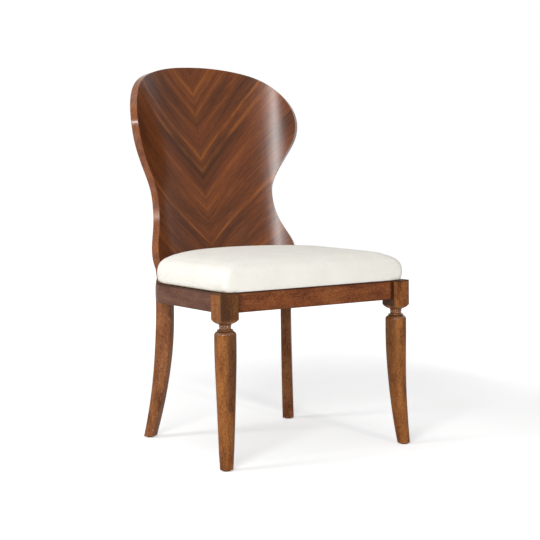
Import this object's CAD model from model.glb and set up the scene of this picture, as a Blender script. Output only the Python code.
import math

import bmesh
import bpy
from mathutils import Matrix, Quaternion, Vector


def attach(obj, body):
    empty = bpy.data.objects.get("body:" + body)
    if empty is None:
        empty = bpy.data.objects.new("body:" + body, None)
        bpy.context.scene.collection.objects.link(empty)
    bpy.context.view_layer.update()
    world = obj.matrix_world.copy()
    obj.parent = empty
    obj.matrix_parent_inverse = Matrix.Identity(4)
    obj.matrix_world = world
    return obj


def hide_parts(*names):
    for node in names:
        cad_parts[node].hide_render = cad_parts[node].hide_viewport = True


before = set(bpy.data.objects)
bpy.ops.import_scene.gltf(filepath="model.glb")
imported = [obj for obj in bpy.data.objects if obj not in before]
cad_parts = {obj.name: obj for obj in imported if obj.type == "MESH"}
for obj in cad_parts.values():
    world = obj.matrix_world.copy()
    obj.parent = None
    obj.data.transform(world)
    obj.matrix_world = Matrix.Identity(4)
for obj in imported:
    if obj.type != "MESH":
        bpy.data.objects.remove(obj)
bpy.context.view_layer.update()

# All sizes are in metres, in the chair's frame: floor at z = 0, front of the seat towards -y.

# Frame and back
FRAME_TOP = 0.431
RAIL_BOTTOM = 0.382
RAIL_END = 0.2345               # joint between the front rail and a front leg
FRONT_FACE = -0.318983          # front of the leg blocks
SIDE_FACE = 0.2755              # outer face of a side rail
ARC_RADIUS = 0.3166             # outer face of the rear rail, front face of the back
ARC_Y = FRONT_FACE + 0.1871     # centre of the rear rail's arc
LEAN = math.radians(12.19)      # of the back, from upright
BACK_FOOT = Vector((0, FRONT_FACE + 0.5037, FRAME_TOP))     # front of the back on the rail top
BACK_UP = Vector((0, math.sin(LEAN), math.cos(LEAN)))
BACK_OUT = Vector((0, math.cos(LEAN), -math.sin(LEAN)))
BACK_AXIS = BACK_FOOT - BACK_OUT * ARC_RADIUS
BACK_MIDDLE = 0.33              # height above the frame that the edge strip's grain turns round

# Front legs
LEG_FACE = 0.2845               # outer face of a front leg's block
LEG_AXIS = 0.2595               # middle of a front leg at its block
LEG_OUT = 0.0118                # how far its foot stands further out
SWEEP_TOP = 0.33
BLOCK_BOTTOM = 0.368            # where the block's corners begin to turn in
NECK_TOP = 0.3555
BEAD_TOP = 0.342
BEAD_GROOVE = BEAD_TOP - 0.0035
SHOULDER = (0.329, 0.335)       # heights between which the polish on the rings sets in

# Darker stain on the frame
TOP_STAIN = (FRAME_TOP - 0.006, FRAME_TOP - 0.001)
BOTTOM_STAIN = (RAIL_BOTTOM, RAIL_BOTTOM + 0.0035)
BLOCK_STAIN = (BLOCK_BOTTOM - 0.012, BLOCK_BOTTOM)
RING_STAIN = (BEAD_TOP - 0.0115, BEAD_TOP - 0.0090)
NECK_STAIN = (NECK_TOP, NECK_TOP + 0.004)
FOOT_STAIN = (0.08, 0.24)

# Veneer
STREAK_SLOPE = 0.93             # of the veneer's streaks where they start at the rail top
STREAK_FAN = 0.8                # how much steeper they are for each metre up the back
STREAK_CURVE = 0.7              # how they flatten out towards the sides
GOLD_STREAKS = (                # height up the back on the middle line, half width and strength
    (0.556, 0.005, 0.50), (0.503, 0.009, 0.65), (0.441, 0.013, 0.50), (0.384, 0.004, 0.55),
    (0.321, 0.008, 1.00), (0.285, 0.014, 0.60), (0.211, 0.011, 0.40), (0.180, 0.004, 0.30),
    (0.080, 0.007, 0.90), (0.024, 0.006, 0.50), (-0.05, 0.010, 0.45), (-0.11, 0.006, 0.40),
)

# Cushion
CLEAR = 0.0003                  # air between pieces that touch
CUSHION_HEIGHT = 0.0785
CUSHION_INSET = 0.0015          # from the rails' outer faces
CUSHION_ROUND = 0.015           # of the front corners
CUSHION_TURN = 0.09             # of the rear corners
CUSHION_PROFILE = (             # share of the height, and how far it is drawn in there
    (0.00, 0.045), (0.12, 0.015), (0.28, 0.000), (0.46, 0.010), (0.60, 0.052),
    (0.72, 0.135), (0.81, 0.270), (0.89, 0.520), (0.955, 0.980), (1.00, 1.700),
)
CUSHION_MESH = 0.006
SWELL = 0.003                   # how far the stuffing may push the cover out
DRAWN_IN = SWELL * 0.4          # how much smaller the cushion starts, for the swell to fill
STUFFING_PRESSURE = 4
STUFFING_FRAMES = 20
EVENING_ROUNDS = 10
HELD_BELOW = 0.004              # height above the frame up to which the cover is held fast
HELD_FADE = 0.012               # height over which that hold fades out

# Seat board and the cloth under it
BOARD_BOTTOM = 0.4328
BOARD_TOP = 0.4448
BOARD_INSET = 0.0075
BOARD_ROUND = 0.0123
BOARD_TURN = 0.065
POCKET_FLOOR = FRAME_TOP - 0.004
FOLD_INSET = 0.0335             # inner edge of the cover's fold under the board
CLOTH_INSET = 0.0365
CLOTH_THICKNESS = 0.0006
CLOTH_SAG = 0.0022
CLOTH_RIPPLE = 0.0003           # between the staples
CLOTH_RINGS = 14

# Staples: inset from the rails' outer faces, height and spacing of each row
STAPLE_TURN = 0.06
CLOTH_STAPLES = (0.0425, 0.4312, 0.045)
FOLD_STAPLES = (0.0285, 0.4311, 0.030)

# Pitches of fine textures
PLY_THICKNESS = 0.0015
WEAVE_PITCH = 0.0009
DOT_PITCH = 0.0014

# Studio
PHOTO_WIDTH = 540
FOCAL_PIXELS = 1486.57
SENSOR_WIDTH = 36
CAMERA_TURN = math.radians(-32.84)
CAMERA_TILT = math.radians(5.11)
CAMERA_ROLL = math.radians(-0.74)
CAMERA_DISTANCE = 3.8867
CAMERA_TARGET = Vector((0, -0.09508, 0.4577))
WORLD_LEVEL = 0.10
FLOOR_HALF = 30
FLOOR_GLOW = (0.45, 0.95)       # near the chair and far off
FLOOR_FADE = (0.7, 2.6)         # distances from the chair between which it rises
LAMPS = (                       # name, place, aim, width, height, power and roll
    ("strip", (-2.58, -2.58, 1.95), (0, 0, 0.5), 0.07, 1.7, 84, math.radians(59)),
    ("left", (-3.1, 0.6, 1.9), (0, 0, 0.4), 1.0, 1.2, 41, 0),
    ("front", (0.1, -2.3, 0.75), (0, 0, 0.4), 0.12, 0.3, 9.5, 0),
    ("right", (3.3, 0.6, 1.25), (0, 0, 0.7), 1.8, 2.0, 5, 0),
    ("top", (-0.3, 0.2, 3.2), (0, 0, 0.4), 1.6, 1.6, 25, 0),
)

# Colours of the woods, each from dark to light
RED_BROWN = ("411f0e", "68371d", "7e4726", "965e35")
RED_DARK = ("3a1f16", "583627", "684535", "7e5b46")
ORANGE_BROWN = ("47230f", "764420", "925a2b", "ae723b")
LEG_REAR = ("482512", "6f4226", "8b5836", "a57148")
BLOCK_WOOD = ("9c7449", "b88f60", "caa576")
DOWEL_WOOD = ("b8945f", "ccaa78", "dabd8e")
DARK_STAIN = "24150d"
VENEER_PORE = "2a140b"


def colour(code):
    """A written colour such as 8a5a30 as the linear values that a shader takes."""
    parts = [int(code[i:i + 2], 16) / 255 for i in (0, 2, 4)]
    linear = [p / 12.92 if p <= 0.04045 else ((p + 0.055) / 1.055) ** 2.4 for p in parts]
    return (*linear, 1.0)


# Materials

class Value:
    """A number that varies over a surface. Sums of values are written as plain expressions."""

    def __init__(self, shading, socket):
        self.shading = shading
        self.socket = socket

    def math(self, operation, *others, clamp=False):
        inputs = dict(enumerate((self,) + others))
        return self.shading.node("Math", dict(operation=operation, use_clamp=clamp), inputs)

    def __add__(self, other):
        return self.math("ADD", other)

    def __radd__(self, other):
        return self.math("ADD", other)

    def __mul__(self, other):
        return self.math("MULTIPLY", other)

    def __rmul__(self, other):
        return self.math("MULTIPLY", other)

    def __sub__(self, other):
        return self.math("SUBTRACT", other)

    def __rsub__(self, other):
        return (self * -1) + other

    def __truediv__(self, other):
        return self.math("DIVIDE", other)

    def clamped(self):
        return self.math("ADD", 0.0, clamp=True)

    def size(self):
        return self.math("ABSOLUTE")

    def step(self, low, high):
        """0 below low, 1 above high and smooth between them."""
        inputs = {"Value": self, "From Min": low, "From Max": high}
        settings = dict(interpolation_type="SMOOTHSTEP")
        return self.shading.node("MapRange", settings, inputs, "Result")

    def before(self, low, high):
        """1 below low, 0 above high and smooth between them."""
        return 1 - self.step(low, high)

    def near(self, middle, core, reach):
        """1 within core of the middle and 0 beyond reach of it."""
        return (self - middle).size().before(core, reach)

    def most(self, *others):
        """The largest of the values at each point."""
        largest = self
        for other in others:
            largest = largest.math("MAXIMUM", other)
        return largest


class Shading:
    """The nodes of one material, or of the world."""

    def __init__(self, name, world=False):
        self.owner = (bpy.data.worlds if world else bpy.data.materials).new(name)
        self.owner.use_nodes = True
        self.tree = self.owner.node_tree
        self.tree.nodes.clear()

    def node(self, kind, settings=None, inputs=None, output=0):
        made = self.tree.nodes.new("ShaderNode" + kind)
        for name, setting in (settings or {}).items():
            if name == "stops":
                self.set_stops(made.color_ramp, setting)
            else:
                setattr(made, name, setting)
        for name, value in (inputs or {}).items():
            if isinstance(value, Value):
                self.tree.links.new(value.socket, made.inputs[name])
            else:
                made.inputs[name].default_value = value
        return Value(self, made.outputs[output])

    def set_stops(self, ramp, stops):
        while len(ramp.elements) < len(stops):
            ramp.elements.new(1.0)
        for element, (position, shade) in zip(ramp.elements, stops):
            element.position = position
            element.color = colour(shade)

    def place(self):
        """The point on the piece, and its x, y and z."""
        point = self.node("TexCoord", output="Object")
        return point, [self.node("SeparateXYZ", inputs={0: point}, output=i) for i in range(3)]

    def join(self, x, y, z):
        return self.node("CombineXYZ", inputs={"X": x, "Y": y, "Z": z})

    def noise(self, at, scale, detail=2.0, rough=0.5):
        inputs = {"Vector": at, "Scale": scale, "Detail": detail, "Roughness": rough}
        return self.node("TexNoise", dict(normalize=True), inputs, "Fac")

    def drawn(self, places, scales, detail=2.0, rough=0.5):
        """Noise with its own scale along each of three places, as in grain."""
        at = self.join(*(place * scale for place, scale in zip(places, scales)))
        return self.noise(at, 1.0, detail, rough)

    def ramp(self, value, *stops):
        return self.node("ValToRGB", dict(stops=stops), {"Fac": value}, "Color")

    def mix(self, share, first, second):
        """A colour from first, where share is 0, to second, where it is 1."""
        return self.node("Mix", dict(data_type="RGBA"), {0: share, 6: first, 7: second}, 2)

    def bump(self, height, distance, strength=1.0):
        inputs = {"Height": height, "Distance": distance, "Strength": strength}
        return self.node("Bump", None, inputs, "Normal")

    def surface(self, **inputs):
        """Ends the material in one surface, with its sockets given by name."""
        named = {}
        for name, value in inputs.items():
            named[name.replace("_", " ").title().replace("Ior", "IOR")] = value
        return self.ended(self.node("BsdfPrincipled", None, named))

    def ended(self, shader, output="OutputMaterial"):
        out = self.tree.nodes.new("ShaderNode" + output)
        self.tree.links.new(shader.socket, out.inputs["Surface"])
        return self.owner


def grain_places(x, y, z, way):
    """Places along and across a piece's grain. way is x, y, z, or arc round the rear rail."""
    if way == "arc":
        back = y - ARC_Y
        angle = x.math("ARCTAN2", back)
        return angle * ARC_RADIUS, (x * x + back * back).math("SQRT"), z
    return {"x": (x, y, z), "y": (y, x, z), "z": (z, x, y)}[way]


def back_radius(x, y, z):
    """Distance from the axis that the back is bent round."""
    out = (y - BACK_AXIS.y) * BACK_OUT.y + (z - BACK_AXIS.z) * BACK_OUT.z
    return (x * x + out * out).math("SQRT")


def stained_wood(name, way, shades, mottle=1.0, coat=0.12, coat_ior=1.5, marks=None):
    """Close-grained wood under stain and lacquer, with blotches where the stain took unevenly.
    marks gives where the stain is darker and where the lacquer is thicker."""
    s = Shading(name)
    point, (x, y, z) = s.place()
    along, side, up = grain = grain_places(x, y, z, way)
    warp = s.drawn(grain, (5, 16, 16)) - 0.5
    bent = s.join(along * 3.2 + warp, side * 60 + warp * 4, up * 60 + warp * 4)
    long_grain = s.noise(bent, 1.0, 3, 0.6)
    fine = s.drawn(grain, (30, 420, 420), 2, 0.6)
    blotch = s.drawn(grain, (12, 26, 26), 3, 0.55)
    freckle = s.drawn(grain, (160, 330, 330), 3, 0.7)
    tone = 0.5 + (long_grain - 0.5) * 0.42 + (fine - 0.5) * 0.25
    tone = tone + (blotch - 0.5) * (0.65 * mottle) + (freckle - 0.5) * (0.85 * mottle)
    dark, low, middle, high = shades
    shade = s.ramp(tone, (0.20, dark), (0.40, low), (0.56, middle), (0.80, high))
    pores = s.drawn(grain, (70, 1300, 1300), 1).step(0.60, 0.72)
    shade = s.mix(pores * 0.2, shade, colour(dark))
    lacquer = coat
    if marks:
        stain, polish = marks(x, y, z)
        shade = s.mix(stain, shade, colour(DARK_STAIN))
        if polish:
            lacquer = coat + polish * (1 - coat)
    return s.surface(
        base_color=shade, specular_ior_level=0.04,
        roughness=0.45 + (blotch - 0.5) * 0.10 + pores * 0.12,
        coat_weight=lacquer, coat_roughness=0.14, coat_ior=coat_ior,
        normal=s.bump(fine * 0.5 - pores, 0.00004, 0.5))


def leg_marks(x, y, z):
    """Dark stain on the left block's front, on both blocks' edges and in the rings,
    and down the inner side of both turned parts. The rings are polished."""
    behind = y - FRONT_FACE
    on_right = x.step(-0.1, 0.1)
    on_left = x.before(-0.1, 0.1)
    on_block = z.step(*BLOCK_STAIN)

    left_front = behind.before(0.0008, 0.0018) * (0.82 - (x + LEG_FACE).step(0.0, 0.045) * 0.33)
    corner = (LEG_FACE - x.size()).before(0.0, 0.0045) * behind.before(0.0025, 0.009) * 0.7
    inside = (x.size() - RAIL_END).before(0.0004, 0.003) * 0.8
    block = (left_front * on_left).most(corner, inside) * on_block
    top = z.step(*TOP_STAIN) * 0.75
    under = z.near(BLOCK_BOTTOM - 0.010, 0.0, 0.007) * 0.35

    rings = z.step(*RING_STAIN) * z.before(*NECK_STAIN) * 0.38
    crease = z.near(BEAD_TOP + 0.001, 0.0, 0.003) * 0.5
    groove = z.near(BEAD_GROOVE, 0.0, 0.0018) * 0.8

    swept = (SWEEP_TOP - z).math("MAXIMUM", 0.0) * (1 / SWEEP_TOP)
    axis = LEG_AXIS + swept * swept * LEG_OUT
    turned = z.before(SWEEP_TOP, BEAD_TOP) * (0.3 + z.step(*FOOT_STAIN) * 0.7)
    left_inner = (x + axis).step(-0.021, 0.000) * on_left * turned * 0.60
    right_inner = (axis - x).step(0.010, 0.020) * on_right * turned * 0.38

    stain = block.most(top, under, rings, crease, groove, left_inner, right_inner)
    polish = z.before(NECK_TOP, BLOCK_BOTTOM) * z.step(*SHOULDER) * 0.6
    return stain, polish


def rail_marks(x, y, z):
    """Stain that gathered along the front rail's top and bottom edges and by its joints."""
    top = z.step(*TOP_STAIN) * 0.80
    bottom = z.before(*BOTTOM_STAIN) * 0.45
    left_joint = (x + RAIL_END).before(0.0, 0.030) * 0.45
    right_joint = (x - RAIL_END).step(-0.007, -0.001) * 0.7
    return top.most(bottom, left_joint, right_joint), None


def side_rail_marks(x, y, z):
    """Stain that gathered along the edges of a side rail or the rear rail."""
    return (z.step(*TOP_STAIN) * 0.70).most(z.before(*BOTTOM_STAIN) * 0.4), None


def striped_veneer(name):
    """Striped veneer laid in a V: both sides mirror each other about the middle of the back."""
    s = Shading(name)
    point, (x, y, z) = s.place()
    far = y - BACK_AXIS.y
    rise = z - BACK_AXIS.z
    foot = (BACK_FOOT - BACK_AXIS).dot(BACK_UP)
    up = far * BACK_UP.y + rise * BACK_UP.z - foot
    out = far * BACK_OUT.y + rise * BACK_OUT.z
    across = (x.math("ARCTAN2", out) * ARC_RADIUS).size()
    fallen = up - across * STREAK_SLOPE + across * across * STREAK_CURVE
    start = fallen / (1 + across * STREAK_FAN)
    run = across * 1.25 + up * 0.3
    start = start + (s.drawn((run, start, 0.0), (5, 8, 1)) - 0.5) * 0.012

    def figure(along, aside, layer, detail=2.0, rough=0.5):
        return s.drawn((run, start, layer), (along, aside, 1), detail, rough)

    broad = figure(1.8, 10, 3.0)
    band = figure(3.2, 34, 7.0)
    thread = figure(10, 170, 11.0, 3, 0.6)
    brush = figure(34, 560, 13.0, 3, 0.65)
    tone = 0.5 + (broad - 0.5) * 0.58 + (band - 0.5) * 0.44
    tone = tone + (thread - 0.5) * 0.48 + (brush - 0.5) * 0.50
    shade = s.ramp(
        tone, (0.26, "3d1f0f"), (0.40, "562d15"), (0.52, "6b391a"), (0.65, "814720"),
        (0.80, "965727"))
    red = figure(2.2, 16, 41.0).step(0.50, 0.72)
    shade = s.mix(red * 0.45, shade, colour("733a20"))
    golden = [start.near(height, 0.0, half) * strength for height, half, strength in GOLD_STREAKS]
    broken = 0.20 + figure(8, 60, 37.0, 3, 0.65).step(0.34, 0.66) * 0.80
    shade = s.mix(golden[0].most(*golden[1:]) * broken * 0.72, shade, colour("a9652b"))
    shadow = figure(2.0, 18, 29.0).step(0.54, 0.74)
    shade = s.mix(shadow * 0.30, shade, colour("3c1e12"))
    pores = figure(48, 1000, 23.0, 1).step(0.58, 0.70)
    shade = s.mix(pores * 0.25, shade, colour(VENEER_PORE))
    seam = across.before(0.0002, 0.0011)
    shade = s.mix(seam * 0.30, shade, colour(VENEER_PORE))
    return s.surface(
        base_color=shade, specular_ior_level=0.03,
        roughness=0.45 + (brush - 0.5) * 0.12 + pores * 0.10,
        coat_weight=0.45, coat_roughness=0.20, coat_ior=1.45,
        normal=s.bump(thread * 0.4 + brush * 0.5 - pores * 0.3, 0.00004, 0.6))


def edge_strip_wood(name):
    """The strip round the back's edge. Its grain follows the edge, and its front is stained
    darker over the top and down the right side."""
    s = Shading(name)
    point, (x, y, z) = s.place()
    rise = z - (FRAME_TOP + BACK_MIDDLE)
    turn = x.math("ARCTAN2", rise)
    out = (x * x + rise * rise).math("SQRT")
    streak = s.drawn((turn, out, y), (3.2, 300, 260), 3, 0.6)
    blotch = s.drawn((turn, out, y), (7, 26, 34), 3, 0.6)
    tone = 0.5 + (streak - 0.5) * 0.55 + (blotch - 0.5) * 0.6
    shade = s.ramp(tone, (0.22, "4c2612"), (0.42, "6e3c1f"), (0.58, "844d29"), (0.80, "9e6436"))
    depth = back_radius(x, y, z) - ARC_RADIUS
    stain = depth.before(0.0004, 0.0020) * x.step(-0.16, -0.10) * 0.7
    shade = s.mix(stain, shade, colour(DARK_STAIN))
    return s.surface(
        base_color=shade, roughness=0.45, specular_ior_level=0.03,
        coat_weight=0.7, coat_roughness=0.17, coat_ior=1.45,
        normal=s.bump(streak, 0.00001, 0.2))


def raw_wood(name, way, shades):
    """Sawn wood without a finish, as on the blocks and dowels inside the frame."""
    s = Shading(name)
    point, (x, y, z) = s.place()
    grain = grain_places(x, y, z, way)
    rings = s.drawn(grain, (4, 90, 90), 3, 0.6)
    fibre = s.drawn(grain, (40, 900, 900), 2, 0.6)
    saw = s.drawn(grain, (500, 12, 12), 1)
    tone = 0.5 + (rings - 0.5) * 1.1 + (fibre - 0.5) * 0.4
    shade = s.ramp(tone, (0.25, shades[0]), (0.50, shades[1]), (0.75, shades[2]))
    return s.surface(
        base_color=shade, roughness=0.72 + (fibre - 0.5) * 0.2, specular_ior_level=0.25,
        normal=s.bump(fibre * 0.6 + saw * 0.4, 0.00012, 0.7))


def ply(name, flat):
    """Plywood with its plies on the edge. flat is true for the seat board, which lies level."""
    s = Shading(name)
    point, (x, y, z) = s.place()
    depth = z if flat else back_radius(x, y, z)
    plies = (depth * (math.pi / PLY_THICKNESS)).math("SINE").step(-0.2, 0.2)
    grain = s.drawn((x, y, z), (12, 160, 160), 3, 0.6)
    ends = s.drawn((x, y, z), (700, 700, 300), 2, 0.6)
    face = s.ramp(grain, (0.30, "a98155"), (0.50, "c29c6c"), (0.70, "d3b183"))
    dark = s.ramp(ends, (0.30, "7c5a38"), (0.70, "9c774c"))
    return s.surface(
        base_color=s.mix(plies, dark, face), roughness=0.7 + (ends - 0.5) * 0.2,
        specular_ior_level=0.25, normal=s.bump(grain + plies * 0.3, 0.0001, 0.6))


def plated_steel(name, shade, tint):
    """Zinc plate on screws and bolts: faint clouding and fine scratches."""
    s = Shading(name)
    point, (x, y, z) = s.place()
    cloud = s.noise(point, 260, 3, 0.6)
    scratch = s.drawn((x, y, z), (300, 2200, 2200))
    return s.surface(
        base_color=s.mix(cloud.step(0.35, 0.65), colour(shade), colour(tint)), metallic=1.0,
        roughness=0.3 + (cloud - 0.5) * 0.3 + (scratch - 0.5) * 0.15,
        normal=s.bump(scratch, 0.00002, 0.5))


def glide_plastic(name):
    """Dark moulded plastic of the foot glides, scuffed where it meets the floor."""
    s = Shading(name)
    point, (x, y, z) = s.place()
    grain = s.noise(point, 1400, 2)
    scuff = s.drawn((x, y, z), (420, 90, 90), 3, 0.7).step(0.52, 0.75)
    scuff = scuff * z.before(0.0004, 0.0018)
    shade = s.mix(scuff * 0.6, colour("231e1b"), colour("58504a"))
    return s.surface(
        base_color=shade, roughness=0.5 + scuff * 0.25, normal=s.bump(grain, 0.00004, 0.5))


def woven_cover(name):
    """Off-white plain weave: threads run across and front to back on top, and upright on the
    sides."""
    s = Shading(name)
    point, (x, y, z) = s.place()
    normal = s.node("TexCoord", output="Normal")
    flat = s.node("SeparateXYZ", inputs={0: normal}, output=2).size().step(0.55, 0.8)
    thread = math.pi / WEAVE_PITCH
    drift = s.noise(point, 30) * 0.9
    across, inward, around, upward = (
        (place * thread + drift).math("SINE") for place in (x, y, x + y, z))
    side = around * upward
    weave = side + (across * inward - side) * flat
    slub = s.drawn((x, y, z), (700, 60, 300), 2, 0.6)
    soft = s.noise(point, 14, 3)
    tone = 0.5 + weave * 0.10 + (slub - 0.5) * 0.5 + (soft - 0.5) * 0.3
    shade = s.ramp(tone, (0.25, "e4dfd2"), (0.50, "f2efe6"), (0.75, "faf8f2"))
    return s.surface(
        base_color=shade, roughness=0.9, specular_ior_level=0.2,
        sheen_weight=0.15, sheen_roughness=0.5,
        normal=s.bump(weave * 0.5 + slub * 0.5, 0.00018, 0.7))


def open_foam(name):
    """Cut open-cell foam, as under the cover."""
    s = Shading(name)
    point, (x, y, z) = s.place()
    cells = s.noise(point, 900, 3, 0.7)
    shade = s.ramp(cells, (0.30, "cfc49f"), (0.55, "e6ddc0"), (0.75, "efe8d0"))
    return s.surface(
        base_color=shade, roughness=0.95, specular_ior_level=0.1,
        normal=s.bump(cells, 0.0003, 0.8))


def under_cloth(name):
    """Black non-woven cloth with its grid of heat-pressed dots."""
    s = Shading(name)
    point, (x, y, z) = s.place()
    pitch = math.pi / DOT_PITCH
    dots = ((x * pitch).math("SINE") * (y * pitch).math("SINE")).size().step(0.45, 0.8)
    fibre = s.noise(point, 900, 3, 0.7)
    shade = s.mix((fibre - 0.3).clamped() + dots * 0.25, colour("131313"), colour("3a3a3b"))
    return s.surface(
        base_color=shade, roughness=0.85 - dots * 0.25, specular_ior_level=0.25,
        normal=s.bump(fibre - dots * 0.6, 0.0001, 0.8))


# Shapes

def seat_loop(inset, front, corner, turn, fine=1):
    """Points round the seat's plan, as seen from above, drawn in from the rails' outer faces."""
    side = SIDE_FACE - inset
    arc = ARC_RADIUS - inset
    centre_y = ARC_Y + math.sqrt((arc - turn) ** 2 - (side - turn) ** 2)
    front_y = FRONT_FACE + front
    bend = math.atan2(centre_y - ARC_Y, side - turn)
    corner_x, corner_y = side - corner, front_y + corner

    def shares(steps):
        return [i / (steps * fine) for i in range(steps * fine)]

    half = [(share * corner_x, front_y) for share in shares(12)]
    for share in shares(8):
        angle = (share - 1) * math.pi / 2
        half.append((corner_x + corner * math.cos(angle), corner_y + corner * math.sin(angle)))
    half += [(side, corner_y + share * (centre_y - corner_y)) for share in shares(14)]
    for share in shares(12):
        angle = share * bend
        half.append((side - turn + turn * math.cos(angle), centre_y + turn * math.sin(angle)))
    for share in shares(12) + [1.0]:
        angle = bend + share * (math.pi / 2 - bend)
        half.append((arc * math.cos(angle), ARC_Y + arc * math.sin(angle)))
    return half + [(-x, y) for x, y in reversed(half[1:-1])]


def looped(items):
    """Each item with the one after it, and the last with the first."""
    return zip(items, items[1:] + items[:1])


def stacked(name, loops):
    """A closed mesh through loops of points that all have the same count, flat at both ends."""
    mesh = bmesh.new()
    rings = [[mesh.verts.new((x, y, z)) for x, y in loop] for loop, z in loops]
    for lower, upper in zip(rings, rings[1:]):
        for (a, b), (c, d) in zip(looped(lower), looped(upper)):
            mesh.faces.new((a, b, d, c))
    mesh.faces.new(rings[0][::-1])
    mesh.faces.new(rings[-1])
    bmesh.ops.recalc_face_normals(mesh, faces=mesh.faces)
    return finished_mesh(name, mesh)


def finished_mesh(name, mesh):
    data = bpy.data.meshes.new(name)
    mesh.to_mesh(data)
    mesh.free()
    made = bpy.data.objects.new(name, data)
    bpy.context.collection.objects.link(made)
    return made


def applied(made):
    """The object with its modifiers worked into its mesh."""
    bpy.context.view_layer.update()
    settled = made.evaluated_get(bpy.context.evaluated_depsgraph_get())
    data = bpy.data.meshes.new_from_object(settled)
    made.modifiers.clear()
    made.data = data
    return made


def smooth(made, material):
    made.data.materials.clear()
    made.data.materials.append(material)
    for face in made.data.polygons:
        face.use_smooth = True


def cushion_shape(name, shrink):
    """The stuffed seat before its cover is stretched: drawn in at the frame, crowned on top."""
    bottom = FRAME_TOP + CLEAR
    height = CUSHION_HEIGHT - CLEAR - shrink
    loops = []
    for high, drawn in CUSHION_PROFILE:
        inset = CUSHION_INSET + shrink + CUSHION_HEIGHT * drawn
        corner = CUSHION_ROUND + CUSHION_HEIGHT * drawn / 2
        loops.append((seat_loop(inset, inset, corner, CUSHION_TURN), bottom + height * high))
    return stacked(name, loops)


def voxelled(made, size):
    remesh = made.modifiers.new("remesh", "REMESH")
    remesh.mode = "VOXEL"
    remesh.voxel_size = size
    return applied(made)


def evened(edges, amounts):
    """Each vertex's amount, averaged with its neighbours'."""
    total = list(amounts)
    count = [1] * len(amounts)
    for edge in edges:
        a, b = edge.vertices
        total[a] += amounts[b]
        total[b] += amounts[a]
        count[a] += 1
        count[b] += 1
    return [t / c for t, c in zip(total, count)]


def stuffed(made):
    """Lets the stuffing push the cover out, with its lower edge held on the frame."""
    before = [v.co.copy() for v in made.data.vertices]
    outward = [v.normal.copy() for v in made.data.vertices]
    held = made.vertex_groups.new(name="held")
    for vertex in made.data.vertices:
        grip = 1 - (vertex.co.z - FRAME_TOP - HELD_BELOW) / HELD_FADE
        held.add([vertex.index], min(1.0, max(0.0, grip)), "REPLACE")
    cloth = made.modifiers.new("cloth", "CLOTH")
    cloth.settings.vertex_group_mass = "held"
    cloth.settings.use_pressure = True
    cloth.settings.uniform_pressure_force = STUFFING_PRESSURE
    cloth.settings.tension_stiffness = 25
    cloth.settings.bending_stiffness = 3
    cloth.settings.effector_weights.gravity = 0
    scene = bpy.context.scene
    scene.frame_start = 1
    scene.frame_end = STUFFING_FRAMES
    for number in range(1, STUFFING_FRAMES + 1):
        scene.frame_set(number)
    applied(made)
    scene.frame_set(1)
    moved = [min(SWELL, max(0.0, (vertex.co - start).dot(way)))
             for vertex, start, way in zip(made.data.vertices, before, outward)]
    for _ in range(EVENING_ROUNDS):
        moved = evened(made.data.edges, moved)
    for vertex, start, way, amount in zip(made.data.vertices, before, outward, moved):
        vertex.co = start + way * amount


def board_pocket(name):
    """The room that the seat board and the opening under it take out of the cushion."""
    opening = seat_loop(FOLD_INSET, FOLD_INSET, CUSHION_ROUND, BOARD_TURN)
    loose = BOARD_INSET - CLEAR
    board = seat_loop(loose, loose + CUSHION_INSET, BOARD_ROUND, BOARD_TURN)
    ledge = BOARD_BOTTOM - CLEAR
    return stacked(name, [
        (opening, POCKET_FLOOR), (opening, ledge), (board, ledge), (board, BOARD_TOP + CLEAR)])


def seat_cushion(material):
    cushion = cushion_shape("seat_cushion", DRAWN_IN)
    voxelled(cushion, CUSHION_MESH)
    stuffed(cushion)
    relax = cushion.modifiers.new("relax", "SMOOTH")
    relax.iterations = 3
    relax.factor = 0.4
    finer = cushion.modifiers.new("finer", "SUBSURF")
    finer.levels = finer.render_levels = 1
    applied(cushion)
    pocket = board_pocket("pocket")
    cut = cushion.modifiers.new("cut", "BOOLEAN")
    cut.operation = "DIFFERENCE"
    cut.solver = "EXACT"
    cut.object = pocket
    applied(cushion)
    bpy.data.objects.remove(pocket)
    smooth(cushion, material)
    return cushion


def under_cloth_sheet(material):
    """The cloth under the board, which sags a little between its staples. Also its flat width
    and length, and its flat area."""
    mesh = bmesh.new()
    top = BOARD_BOTTOM - CLEAR - CLOTH_RIPPLE
    rim = seat_loop(CLOTH_INSET, CLOTH_INSET, CUSHION_ROUND, BOARD_TURN, 2)
    rings = []
    for k in range(CLOTH_RINGS):
        share = 1 - k / CLOTH_RINGS
        drop = CLOTH_SAG * (1 - share ** 2) ** 0.7
        ring = []
        for i, (x, y) in enumerate(rim):
            ripple = CLOTH_RIPPLE * math.sin(i * 0.9) * share ** 6
            ring.append(mesh.verts.new((x * share, y * share, top - drop + ripple)))
        rings.append(ring)
    for outer, inner in zip(rings, rings[1:]):
        for (a, b), (c, d) in zip(looped(outer), looped(inner)):
            mesh.faces.new((a, c, d, b))
    centre = mesh.verts.new((0, 0, top - CLOTH_SAG))
    for a, b in looped(rings[-1]):
        mesh.faces.new((a, centre, b))
    bmesh.ops.recalc_face_normals(mesh, faces=mesh.faces)
    cloth = finished_mesh("under_cloth", mesh)
    wall = cloth.modifiers.new("wall", "SOLIDIFY")
    wall.thickness = CLOTH_THICKNESS
    wall.offset = -1 if cloth.data.polygons[0].normal.z < 0 else 1
    applied(cloth)
    smooth(cloth, material)
    area = abs(sum(a[0] * b[1] - b[0] * a[1] for a, b in looped(rim))) / 2
    width = 2 * max(x for x, y in rim)
    length = max(y for x, y in rim) - min(y for x, y in rim)
    return cloth, (width, length), area


# Staples

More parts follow.
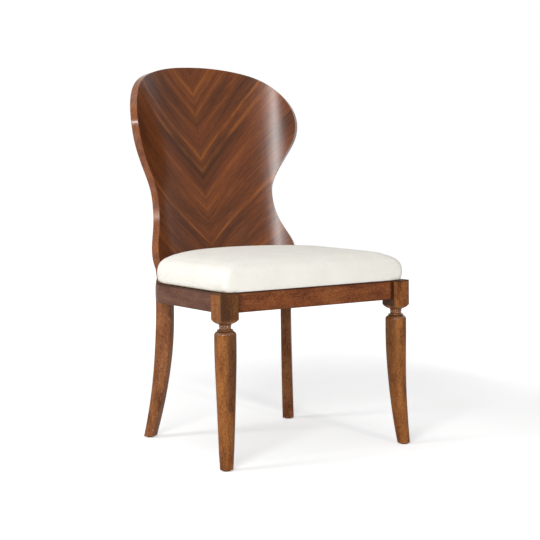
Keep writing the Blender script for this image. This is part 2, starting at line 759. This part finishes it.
def staple_tree(material):
    """A row of staples along a line: crown, two legs up into the board, a small random turn."""
    tree = bpy.data.node_groups.new("staple row", "GeometryNodeTree")
    interface = tree.interface
    interface.new_socket("Line", in_out="INPUT", socket_type="NodeSocketGeometry")
    sizes = {"Spacing": 0.04, "Crown": 0.010, "Wire": 0.0006, "Leg": 0.003, "Turn": 0.25}
    for name, value in sizes.items():
        socket = interface.new_socket(name, in_out="INPUT", socket_type="NodeSocketFloat")
        socket.default_value = value
    interface.new_socket("Geometry", in_out="OUTPUT", socket_type="NodeSocketGeometry")

    def node(kind, settings=None, inputs=None, output=0):
        made = tree.nodes.new(kind)
        for name, setting in (settings or {}).items():
            setattr(made, name, setting)
        for name, value in (inputs or {}).items():
            if isinstance(value, bpy.types.NodeSocket):
                tree.links.new(value, made.inputs[name])
            else:
                made.inputs[name].default_value = value
        return made.outputs[output]

    def times(value, factor):
        return node("ShaderNodeMath", dict(operation="MULTIPLY"), {0: value, 1: factor})

    def vector(**parts):
        return node("ShaderNodeCombineXYZ", None, parts)

    given = tree.nodes.new("NodeGroupInput").outputs
    half = times(given["Crown"], 0.5)
    other = times(given["Crown"], -0.5)
    left, right = vector(X=other), vector(X=half)
    left_up, right_up = vector(X=other, Z=given["Leg"]), vector(X=half, Z=given["Leg"])
    lines = tree.nodes.new("GeometryNodeJoinGeometry")
    for start, end in ((left, right), (left_up, left), (right, right_up)):
        line = node("GeometryNodeCurvePrimitiveLine", None, {"Start": start, "End": end})
        tree.links.new(line, lines.inputs[0])
    ring = node(
        "GeometryNodeCurvePrimitiveCircle", None, {"Resolution": 8, "Radius": given["Wire"]})
    wire = node("GeometryNodeCurveToMesh", None, {
        "Curve": lines.outputs[0], "Profile Curve": ring, "Fill Caps": True})
    curve = node("GeometryNodeMeshToCurve", None, {"Mesh": given["Line"]})
    points = node("GeometryNodeCurveToPoints", dict(mode="LENGTH"), {
        "Curve": curve, "Length": given["Spacing"]}, "Points")
    aimed = node("FunctionNodeAlignRotationToVector", dict(axis="X", pivot_axis="Z"), {
        "Vector": points.node.outputs["Tangent"]})
    chance = node("FunctionNodeRandomValue", dict(data_type="FLOAT"), {
        2: times(given["Turn"], -1.0), 3: given["Turn"], "Seed": 7}, 1)
    spun = node("FunctionNodeEulerToRotation", None, {"Euler": vector(Z=chance)})
    turned = node("FunctionNodeRotateRotation", dict(rotation_space="LOCAL"), {
        "Rotation": aimed, "Rotate By": spun})
    copies = node("GeometryNodeInstanceOnPoints", None, {
        "Points": points, "Instance": wire, "Rotation": turned})
    real = node("GeometryNodeRealizeInstances", None, {"Geometry": copies})
    painted = node("GeometryNodeSetMaterial", None, {"Geometry": real, "Material": material})
    out = tree.nodes.new("NodeGroupOutput")
    tree.links.new(painted, out.inputs[0])
    return tree


def staples(name, tree, inset, height, spacing):
    """A row of staples round the underside of the seat."""
    mesh = bmesh.new()
    loop = seat_loop(inset, inset, CUSHION_ROUND, STAPLE_TURN)
    verts = [mesh.verts.new((x, y, height)) for x, y in loop]
    for a, b in looped(verts):
        mesh.edges.new((a, b))
    line = finished_mesh(name, mesh)
    row = line.modifiers.new("row", "NODES")
    row.node_group = tree
    sockets = {s.name: s.identifier for s in tree.interface.items_tree if s.in_out == "INPUT"}
    row[sockets["Spacing"]] = spacing
    return applied(line)


# Materials on the pieces

steel = plated_steel("zinc plate on screws", "b9b3a4", "d6d0bf")
bolt_zinc = plated_steel("zinc plate on bolts", "a9abab", "c9cbcb")
veneer = striped_veneer("striped veneer in a V")
finishes = {
    "front_rail": stained_wood("front rail wood", "x", RED_BROWN, marks=rail_marks),
    "side_rail": stained_wood("side rail wood", "y", RED_DARK, mottle=0.9, marks=side_rail_marks),
    "rear_rail": stained_wood("rear rail wood", "arc", RED_DARK, mottle=0.9, marks=side_rail_marks),
    "front_leg": stained_wood(
        "front leg wood", "z", ORANGE_BROWN, coat=0.09, coat_ior=1.7, marks=leg_marks),
    "rear_leg": stained_wood("rear leg wood", "z", LEG_REAR),
    "back_lipping": edge_strip_wood("edge strip wood"),
    "front_veneer": veneer,
    "rear_veneer": veneer,
    "back_core": ply("plies of the back", False),
    "seat_board": ply("plies of the seat board", True),
    "front_corner_block": raw_wood("sawn front block", "x", BLOCK_WOOD),
    "rear_corner_block": raw_wood("sawn rear block", "y", BLOCK_WOOD),
    "frame_dowels": raw_wood("beech dowel", "y", DOWEL_WOOD),
    "corner_block_screws": steel,
    "back_screws": steel,
    "seat_screws": steel,
    "rear_leg_bolts": bolt_zinc,
    "hanger": bolt_zinc,
    "foot_glide": glide_plastic("glide plastic"),
    "seat_foam": open_foam("seat foam"),
    "seat_cover": woven_cover("off-white weave"),
    "dust_cover": under_cloth("black non-woven cloth"),
}

for node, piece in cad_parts.items():
    family = max((f for f in finishes if node.startswith(f)), key=len)
    piece.data.materials.clear()
    piece.data.materials.append(finishes[family])


# Soft pieces and staples

cushion = seat_cushion(finishes["seat_cover"])
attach(cushion, "root")
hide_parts("seat_cover", "seat_foam")

cloth, cloth_size, cloth_area = under_cloth_sheet(finishes["dust_cover"])
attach(cloth, "root")
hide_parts("dust_cover")

row_tree = staple_tree(steel)
cloth_staples = staples("cloth_staples", row_tree, *CLOTH_STAPLES)
fold_staples = staples("fold_staples", row_tree, *FOLD_STAPLES)
for row in (cloth_staples, fold_staples):
    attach(row, "root")


# Floor, light and camera

def seen_straight(shading):
    """1 for rays from the camera, from gloss and through clear pieces, and 0 for the rest."""
    seen = [shading.node("LightPath", output=kind)
            for kind in ("Is Camera Ray", "Is Glossy Ray", "Is Transmission Ray")]
    return seen[0].most(*seen[1:])


def studio_white(name):
    """White floor that keeps the chair's shadow and fades to plain white further off."""
    s = Shading(name)
    point, (x, y, z) = s.place()
    away = (x * x + y * y).math("SQRT")
    near, far = FLOOR_GLOW
    lift = seen_straight(s) * (near + away.step(*FLOOR_FADE) * (far - near))
    matt = s.node("BsdfDiffuse", None, {"Color": (0.9, 0.9, 0.9, 1)})
    glow = s.node("Emission", None, {"Strength": lift})
    return s.ended(s.node("AddShader", None, {0: matt, 1: glow}))


def floor_plane():
    mesh = bmesh.new()
    bmesh.ops.create_grid(mesh, x_segments=1, y_segments=1, size=FLOOR_HALF)
    floor = finished_mesh("studio_floor", mesh)
    floor.data.materials.append(studio_white("studio floor"))


def studio_world(level):
    """Even light all round, and white wherever the camera or a gloss looks past the chair."""
    s = Shading("studio", world=True)
    bpy.context.scene.world = s.owner
    strength = level + seen_straight(s) * (1 - level)
    s.ended(s.node("Background", None, {"Strength": strength, "Color": (1, 1, 1, 1)}),
            "OutputWorld")


def softbox(name, place, aim, width, height, power, roll):
    lamp = bpy.data.lights.new(name, "AREA")
    lamp.shape = "RECTANGLE"
    lamp.size = width
    lamp.size_y = height
    lamp.energy = power
    made = bpy.data.objects.new(name, lamp)
    bpy.context.collection.objects.link(made)
    made.location = place
    facing = (Vector(aim) - Vector(place)).to_track_quat("-Z", "Y")
    made.rotation_euler = (facing @ Quaternion((0, 0, 1), roll)).to_euler()


def camera():
    """A long lens at the photograph's viewing angle."""
    level = math.cos(CAMERA_TILT)
    back = Vector((
        math.sin(CAMERA_TURN) * level, -math.cos(CAMERA_TURN) * level, math.sin(CAMERA_TILT)))
    right = (-back).cross(Vector((0, 0, 1))).normalized()
    up = right.cross(-back)
    rolled_right = right * math.cos(CAMERA_ROLL) + up * math.sin(CAMERA_ROLL)
    rolled_up = up * math.cos(CAMERA_ROLL) - right * math.sin(CAMERA_ROLL)
    data = bpy.data.cameras.new("camera")
    data.sensor_width = SENSOR_WIDTH
    data.lens = FOCAL_PIXELS / PHOTO_WIDTH * SENSOR_WIDTH
    data.clip_end = 200
    made = bpy.data.objects.new("camera", data)
    bpy.context.collection.objects.link(made)
    facing = Matrix((rolled_right, rolled_up, back)).transposed()
    place = CAMERA_TARGET + back * CAMERA_DISTANCE
    made.matrix_world = Matrix.Translation(place) @ facing.to_4x4()
    bpy.context.scene.camera = made


floor_plane()
studio_world(WORLD_LEVEL)
for lamp in LAMPS:
    softbox(*lamp)
camera()
bpy.context.scene.view_settings.view_transform = "Standard"
